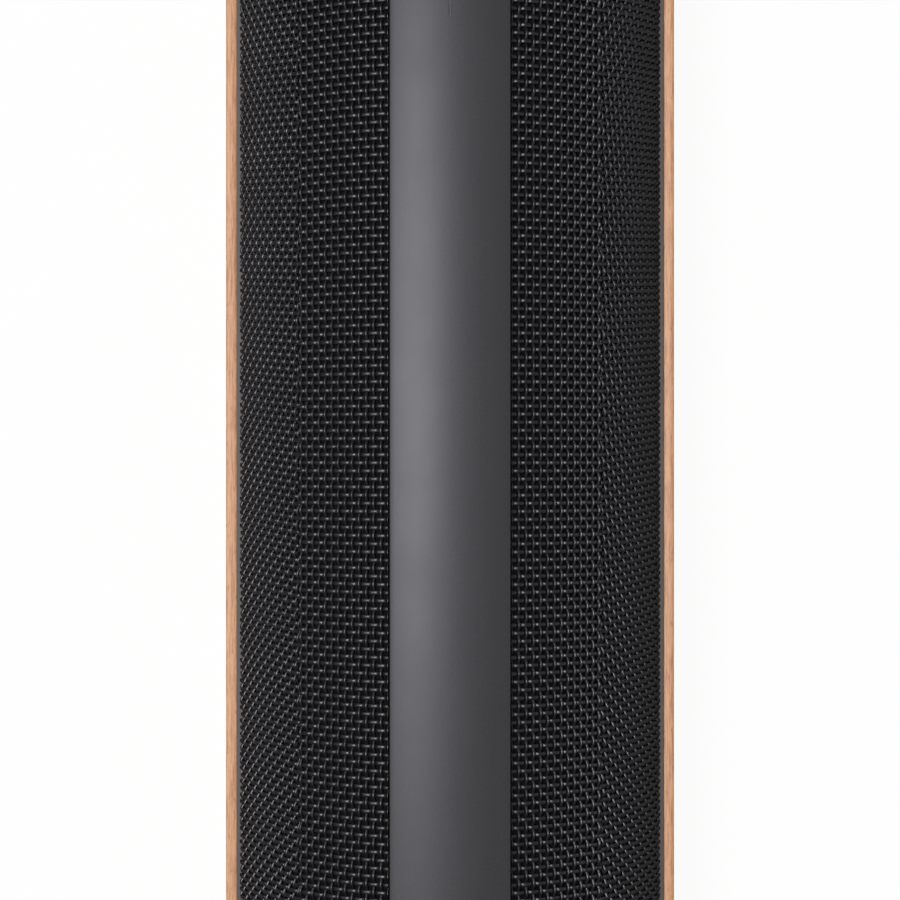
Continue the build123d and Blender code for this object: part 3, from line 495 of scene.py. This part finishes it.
def yarn_finish():
    """Glossy black yarn: a fine twist along each yarn, and lengths that take the light more or less.

    Its gloss is strongest where the yarn faces the eye and falls off at a glance.
    """
    finish, shader = new_finish("black_yarn")
    place = add_node(finish, "UVMap", uv_map="along_and_round").outputs["UV"]
    slant = add_node(finish, "Mapping", {"Vector": place, "Scale": (1500.0, 1.2, 1.0)}).outputs["Vector"]
    plies = {"Vector": slant, "Scale": 0.6, "Distortion": 0.6}
    twist = add_node(finish, "TexWave", plies, bands_direction="DIAGONAL")
    lengths = noise(finish, (700.0,) * 3, 2.0)
    facing = add_node(finish, "LayerWeight", {"Blend": 0.5}).outputs["Facing"]
    glance = {"Value": facing, "From Min": 0.1, "From Max": 0.35, "To Min": 0.72, "To Max": 0.05}
    tone = shades(finish, lengths, (0.3, (0.0065, 0.0064, 0.0074)), (0.7, (0.0105, 0.0104, 0.0118)))
    wire(finish, shader, {
        "Base Color": tone,
        "Roughness": between(finish, lengths, 0.37, 0.46),
        "Specular IOR Level": add_node(finish, "MapRange", glance).outputs[0],
        "Specular Tint": (0.95, 0.93, 1.0, 1.0),
        "Normal": relief(finish, twist.outputs["Fac"], 0.00001),
    })
    return finish


yarn = yarn_finish()
# The backing is a near-black sheet without gloss, laid under the yarns. It is no layer of the real weave:
# its dark colour is painted shade for the gaps between the yarns.
gap_shade_sheet = mottled_finish(
    "cloth_gap_shade_sheet", (0.005, 0.005, 0.0055), (0.008, 0.008, 0.0088),
    blotch=0.0012, roughness=(0.85, 0.95), depth=0.00005, gloss=0.0,
)
for half, side in (("front", -1), ("rear", 1)):
    for level, panel in (("upper", upper_panel), ("lower", lower_panel)):
        node = f"{half}_{level}_cloth"
        width = panel["radius"] * (panel["end"] - panel["start"])
        for name, lengthwise, parity in (
            ("warp_odd", True, 1), ("warp_even", True, 0), ("weft_odd", False, 1), ("weft_even", False, 0),
        ):
            points, quads, uv, normals = yarns(panel, side, lengthwise, parity)
            piece = surface(f"{half}_{level}_{name}", points, quads, yarn, "bar", uv, normals)
        # Under each panel's yarns lies the near-black sheet of painted shade that darkens the gaps between
        # them.
        along = np.linspace(-shell_end, shell_end, gap_shade_sheet_columns)
        across = np.linspace(0, width, gap_shade_sheet_rows)
        x, down = np.meshgrid(along, across)
        points = on_panel(panel, side, x, down, np.full(x.shape, gap_shade_sheet_lift)).reshape(-1, 3)
        quads = grid_quads(gap_shade_sheet_rows, gap_shade_sheet_columns)
        if side > 0:
            quads = quads[:, ::-1]
        sheet = surface(f"{half}_{level}_backing", points, quads, gap_shade_sheet, "bar")
        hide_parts(node)

# Top strip
# A long cover in matt grey plastic, curved to the ridge a little proud of the cloth, its long edges rounded.
# It has four round holes for the keys and a slot for the status light. Its hidden legs are left out.

strip_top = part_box("top_strip")[1].z
strip_radius = strip_top - (deck - ridge_drop)
strip_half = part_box("top_strip")[1].y
strip_round = 0.00025
strip_thickness = 0.0022
key_hole = 0.00575
hole_round = 0.00015
key_room = 0.008
key_names = ("power", "source", "volume_down", "volume_up")
key_spots = [(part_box(name + "_key")[0].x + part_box(name + "_key")[1].x) / 2 for name in key_names]
slot_start, slot_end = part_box("status_light_pipe")[0].x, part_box("status_light_pipe")[1].x
slot_half = 0.00025
strip_lines = 14
strip_step = 0.012


def ridge_z(y, depth=0.0):
    """The height of the strip's round top at y, or of a surface a depth below it."""
    return deck - ridge_drop + np.sqrt((strip_radius - depth) ** 2 - y**2)


def strip_surface():
    """The strip's points and quads.

    Its top and its underside are grids over X and Y on two arcs. Round each key, a ring of lines runs from
    the hole to the sides of a rectangle and shares the grid's points there. Walls join the two round the
    holes, the slot and the edges. At the holes and the long edges they begin with a quarter round.
    """
    tangent = math.asin((strip_half - strip_round) / (strip_radius - strip_round))
    flat_half = strip_radius * math.sin(tangent)
    half_lines = np.linspace(slot_half, flat_half, strip_lines)
    lines = np.concatenate([-half_lines[::-1], half_lines])
    blocks, places = [], []
    stops = [-shell_end]
    for spot in key_spots:
        stops += [spot - key_room, spot + key_room]
    stops += [slot_start, slot_end, shell_end]

    def patch(points, rows, columns, turned=False):
        """Keeps a grid of points with its quads, which are turned over on request."""
        quads = grid_quads(rows, columns)
        blocks.append((points.reshape(-1, 3), quads[:, ::-1] if turned else quads))

    def cover(x, y, depth, turned):
        """Keeps a grid over X and Y on the strip's arc, or on the arc a depth below it."""
        patch(np.stack([x, y, ridge_z(y, depth)], -1), *x.shape, turned)

    for number, (first, last) in enumerate(zip(stops[:-1], stops[1:])):
        along = np.linspace(first, last, max(2, int((last - first) / strip_step) + 1))
        places.append(along)
        is_key = number % 2 == 1 and number < 2 * len(key_spots)
        is_slot = first == slot_start
        if is_key:
            middle = (first + last) / 2
            sides = np.stack([np.full(lines.shape, first), lines], -1)
            ahead = np.stack([along, np.full(along.shape, lines[-1])], -1)[1:-1]
            far_sides = (sides * [0, 1] + [last, 0])[::-1]
            behind = (ahead * [1, -1])[::-1]
            rim = np.concatenate([sides, ahead, far_sides, behind, sides[:1]])
            spoke = rim - [middle, 0.0]
            spoke = spoke / np.linalg.norm(spoke, axis=1, keepdims=True)
            hole = [middle, 0.0] + spoke * (key_hole + hole_round)
            share = np.array([0.0, 0.12, 0.3, 0.6, 1.0])[:, None, None]
            spread = hole + share * (rim - hole)
            cover(spread[..., 0], spread[..., 1], 0.0, True)
            cover(spread[..., 0], spread[..., 1], strip_thickness, False)
            bend = np.radians([0.0, 30.0, 60.0, 90.0])
            inset = np.append(key_hole + hole_round * (1 - np.sin(bend)), [key_hole, key_hole + hole_round])
            wall = np.array([middle, 0.0]) + spoke[None] * inset[:, None, None]
            rounded_z = ridge_z(wall[:-2, :, 1]) - hole_round * (1 - np.cos(bend))[:, None]
            under_z = ridge_z(wall[-2:, :, 1], strip_thickness)
            wall_z = np.concatenate([rounded_z, under_z])
            patch(np.concatenate([wall, wall_z[..., None]], -1), len(inset), len(rim))
        else:
            middle_line = len(lines) // 2
            for part in ((lines[:middle_line], lines[middle_line:]) if is_slot else (lines,)):
                x, y = np.meshgrid(along, part, indexing="ij")
                cover(x, y, 0.0, False)
                cover(x, y, strip_thickness, True)
        if is_slot:
            corners = [[first, -slot_half], [first, slot_half], [last, slot_half], [last, -slot_half]]
            rim = np.array(corners + corners[:1])
            upper = np.column_stack([rim, ridge_z(rim[:, 1])])
            lower = np.column_stack([rim, ridge_z(rim[:, 1], strip_thickness)])
            patch(np.stack([upper, lower]), 2, len(rim))

    along = np.unique(np.concatenate(places))
    bend = np.linspace(tangent, math.pi / 2, 6)
    hub = (strip_radius - strip_round) * np.array([math.sin(tangent), math.cos(tangent)])
    edge_y = np.concatenate([hub[0] + strip_round * np.sin(bend), [strip_half, flat_half]])
    edge_z = deck - ridge_drop + hub[1] + strip_round * np.cos(bend)
    edge_z = np.concatenate([edge_z, ridge_z(np.array([strip_half, flat_half]), strip_thickness)])
    for side in (-1, 1):
        x, number = np.meshgrid(along, np.arange(len(edge_y)), indexing="ij")
        patch(np.stack([x, side * edge_y[number], edge_z[number]], -1), *x.shape, side < 0)
    for end in (-shell_end, shell_end):
        outline_y = np.concatenate([-edge_y[-2::-1], lines[1:-1], edge_y[:-1]])
        outline_z = np.concatenate([edge_z[-2::-1], ridge_z(lines[1:-1]), edge_z[:-1]])
        under = ridge_z(np.clip(outline_y, -strip_half, strip_half), strip_thickness)
        outline_x = np.full(outline_y.shape, end)
        rows = [np.column_stack([outline_x, outline_y, z]) for z in (outline_z, under)]
        patch(np.stack(rows), 2, len(outline_y), end > 0)
    offsets = np.cumsum([0] + [len(points) for points, _ in blocks[:-1]])
    points = np.concatenate([points for points, _ in blocks])
    quads = np.concatenate([quads + offset for (_, quads), offset in zip(blocks, offsets)])
    return points, quads


def strip_finish():
    """Matt moulded plastic, a slightly blue dark grey, with the fine specks of an eroded mould."""
    finish, shader = new_finish("matt_grey")
    specks = noise(finish, (4200.0,) * 3, 2.0, 0.7)
    cloud = noise(finish, (90.0,) * 3, 2.0)
    tone = shades(finish, specks, (0.25, (0.031, 0.0308, 0.0340)), (0.75, (0.046, 0.0457, 0.0500)))
    wire(finish, shader, {
        "Base Color": tone,
        "Roughness": between(finish, cloud, 0.39, 0.44),
        "Specular IOR Level": 0.32,
        "Specular Tint": (0.95, 0.93, 1.0, 1.0),
        "Normal": relief(finish, specks, 0.000012),
    })
    return finish


def join_seams(piece, same_place=2e-6, no_length=1e-7, sharp=math.radians(40)):
    """Merges points at the same place, so that seams close, and drops edges of no length.

    The piece stays smooth except across edges that are sharper than an angle.
    """
    joined = bmesh.new()
    joined.from_mesh(piece.data)
    bmesh.ops.remove_doubles(joined, verts=joined.verts, dist=same_place)
    bmesh.ops.dissolve_degenerate(joined, edges=joined.edges, dist=no_length)
    joined.to_mesh(piece.data)
    joined.free()
    piece.data.shade_smooth()
    piece.data.set_sharp_from_angle(angle=sharp)


matt_grey = strip_finish()
strip = surface("ridge_strip", *strip_surface(), matt_grey, "bar")
join_seams(strip)
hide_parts("top_strip")

# Keys and status light
# Four round caps cut to the strip's curve, each with its moulded sign, on their switches.
# The light is a thin blade of smoked plastic in its slot.

mark_width, mark_height, mark_sink = 0.0003, 0.00016, 0.00002


def stroke(points, half_width, height):
    """A raised line on the strip's curve.

    It is a half-oval section along a path, drawn in to a round end at both ends and sunk in a little.
    """
    points = np.array(points, float)
    lengths = np.concatenate([[0.0], np.cumsum(np.linalg.norm(np.diff(points, axis=0), axis=1))])
    ends = half_width * (1 - np.cos(np.radians([0.0, 25.0, 50.0, 70.0, 90.0])))
    inner = lengths[(lengths > ends[-1] * 1.2) & (lengths < lengths[-1] - ends[-1] * 1.2)]
    at = np.unique(np.concatenate([ends, inner, lengths[-1] - ends]))
    path = np.stack([np.interp(at, lengths, points[:, axis]) for axis in (0, 1)], -1)
    ahead = np.gradient(path, axis=0)
    ahead /= np.linalg.norm(ahead, axis=1, keepdims=True)
    sideways = np.stack([-ahead[:, 1], ahead[:, 0]], -1)
    nearest = np.minimum(np.minimum(at, lengths[-1] - at), half_width) / half_width
    swell = np.sqrt(np.clip(1 - (1 - nearest) ** 2, 0, 1))
    ring = np.radians(np.linspace(-90.0, 90.0, 7))
    flat = path[:, None] + sideways[:, None] * (half_width * swell[:, None] * np.sin(ring))[..., None]
    lift = height * swell[:, None] * np.cos(ring) - mark_sink
    rows = np.concatenate([flat, (ridge_z(flat[..., 1]) + lift)[..., None]], -1)
    return rows.reshape(-1, 3), grid_quads(len(at), len(ring))


def arc(radius, first, last, count=28):
    """Points of a circle about the key's middle, from one angle in degrees to another."""
    angle = np.radians(np.linspace(first, last, count))
    return np.stack([radius * np.cos(angle), radius * np.sin(angle)], -1)


def corner_path(points, count=9):
    """A path through corners, with points spread along each run."""
    runs = [np.linspace(a, b, count)[:-1] for a, b in zip(points[:-1], points[1:])]
    return np.concatenate(runs + [np.array(points[-1:])])


marks = {
    "power": [arc(0.0021, 125, 415), corner_path([(0.0, 0.0009), (0.0, 0.0026)])],
    "source": [
        corner_path([(-0.0026, 0.0), (0.0008, 0.0)]),
        corner_path([(-0.0004, 0.0012), (0.0008, 0.0)]),
        corner_path([(-0.0004, -0.0012), (0.0008, 0.0)]),
        corner_path([(0.0004, 0.0021), (0.0024, 0.0021)]),
        corner_path([(0.0024, 0.0021), (0.0024, -0.0021)]),
        corner_path([(0.0004, -0.0021), (0.0024, -0.0021)]),
    ],
    "volume_down": [corner_path([(-0.002, 0.0), (0.002, 0.0)])],
    "volume_up": [corner_path([(-0.002, 0.0), (0.002, 0.0)]), corner_path([(0.0, -0.002), (0.0, 0.002)])],
}
pale_mark = mottled_finish(
    "pale_sign", (0.26, 0.26, 0.27), (0.36, 0.36, 0.37),
    blotch=0.0004, roughness=(0.45, 0.6), depth=0.00001,
)
for name, spot in zip(key_names, key_spots):
    cap = smooth_copy(name + "_key", name + "_cap", matt_grey, name + "_key")
    parts = [stroke(points + np.array([spot, 0.0]), mark_width, mark_height) for points in marks[name]]
    offsets = np.cumsum([0] + [len(points) for points, _ in parts[:-1]])
    points = np.concatenate([points for points, _ in parts])
    quads = np.concatenate([quads + offset for (_, quads), offset in zip(parts, offsets)])
    sign = surface(name + "_sign", points, quads[:, ::-1], pale_mark, name + "_key")
    join_seams(sign, same_place=1e-7)

smoked = mottled_finish(
    "smoked_light_pipe", (0.034, 0.034, 0.037), (0.048, 0.048, 0.052),
    blotch=0.0008, roughness=(0.3, 0.4), depth=0.00001,
)
dress(smoked, "status_light_pipe")

# End caps
# Moulded ends in the same matt grey as the strip, cut to the bar's domed section with a soft outer rim.
# Two screws through the plinth hold each.

for end in ("left", "right"):
    cap = smooth_copy(end + "_end_cap", end + "_cap", matt_grey, "bar")

# Studio
# A pale table that the camera sees as white, a soft lamp overhead and a little in front of the bar,
# a weak low lamp behind it, and even fill from all round.

table_size, table_lines = 25.0, 9
table_white = 0.95
fill_strength = 0.11


def table_finish():
    """White table: mostly plain white to the lens and to gloss, with some of its own shading for shadows."""
    finish, shader = new_finish("white_table")
    paper_grain = noise(finish, (30.0,) * 3)
    wire(finish, shader, {
        "Base Color": shades(finish, paper_grain, (0.3, (0.78, 0.78, 0.78)), (0.7, (0.82, 0.82, 0.82))),
        "Roughness": 0.9,
    })
    rays = add_node(finish, "LightPath").outputs
    seen = rays["Is Camera Ray"]
    for ray in ("Is Glossy Ray", "Is Transmission Ray"):
        seen = add_node(finish, "Math", {0: seen, 1: rays[ray]}, operation="MAXIMUM").outputs[0]
    share = add_node(finish, "Math", {0: seen, 1: table_white}, operation="MULTIPLY").outputs[0]
    white = add_node(finish, "Emission", {"Color": (1.0, 1.0, 1.0, 1.0), "Strength": 1.0}).outputs[0]
    both = add_node(finish, "MixShader", {0: share, 1: shader.outputs[0], 2: white}).outputs[0]
    output = finish.node_tree.nodes["Material Output"]
    finish.node_tree.links.new(both, output.inputs["Surface"])
    return finish


table_places = np.linspace(-table_size, table_size, table_lines)
x, y = np.meshgrid(table_places, table_places)
table_mesh = bpy.data.meshes.new("table")
table_points = np.stack([x, y, np.zeros(x.shape)], -1).reshape(-1, 3)
table_mesh.from_pydata(table_points.tolist(), [], grid_quads(table_lines, table_lines).tolist())
table_mesh.materials.append(table_finish())
table = bpy.data.objects.new("table", table_mesh)
bpy.context.scene.collection.objects.link(table)


def soft_lamp(name, place, aim, size, watts):
    """A soft lamp, a rectangle at a place that faces a point; the camera doesn't see it."""
    light = bpy.data.lights.new(name, "AREA")
    light.shape = "RECTANGLE"
    light.size, light.size_y = size
    light.energy = watts
    lamp = bpy.data.objects.new(name, light)
    lamp.visible_camera = False
    bpy.context.scene.collection.objects.link(lamp)
    lamp.location = place
    away = np.array(place) - np.array(aim)
    lean = math.atan2(math.hypot(away[0], away[1]), away[2])
    turn = math.atan2(away[0], -away[1])
    lamp.rotation_euler = (lean, 0.0, turn)


lens_aim = (0.1425, 0.0, deck)
soft_lamp("overhead_lamp", place=(0.07, -0.37, 1.25), aim=lens_aim, size=(0.5, 0.32), watts=16.0)
soft_lamp("side_lamp", place=(0.14, 1.15, 0.20), aim=lens_aim, size=(0.8, 0.3), watts=2.2)

world = bpy.data.worlds.new("even_fill")
world.use_nodes = True
background = world.node_tree.nodes["Background"]
background.inputs["Color"].default_value = (1.0, 1.0, 1.0, 1.0)
background.inputs["Strength"].default_value = fill_strength
bpy.context.scene.world = world

lens_height = 0.4106
camera_data = bpy.data.cameras.new("camera")
camera_data.sensor_width = 36.0
camera_data.lens = 76.0
camera_data.clip_start = 0.01
camera = bpy.data.objects.new("camera", camera_data)
bpy.context.scene.collection.objects.link(camera)
camera.location = (lens_aim[0], lens_aim[1], deck + lens_height)
camera.rotation_euler = (0.0, 0.0, math.radians(90.0))
bpy.context.scene.camera = camera
bpy.context.scene.view_settings.view_transform = "Standard"
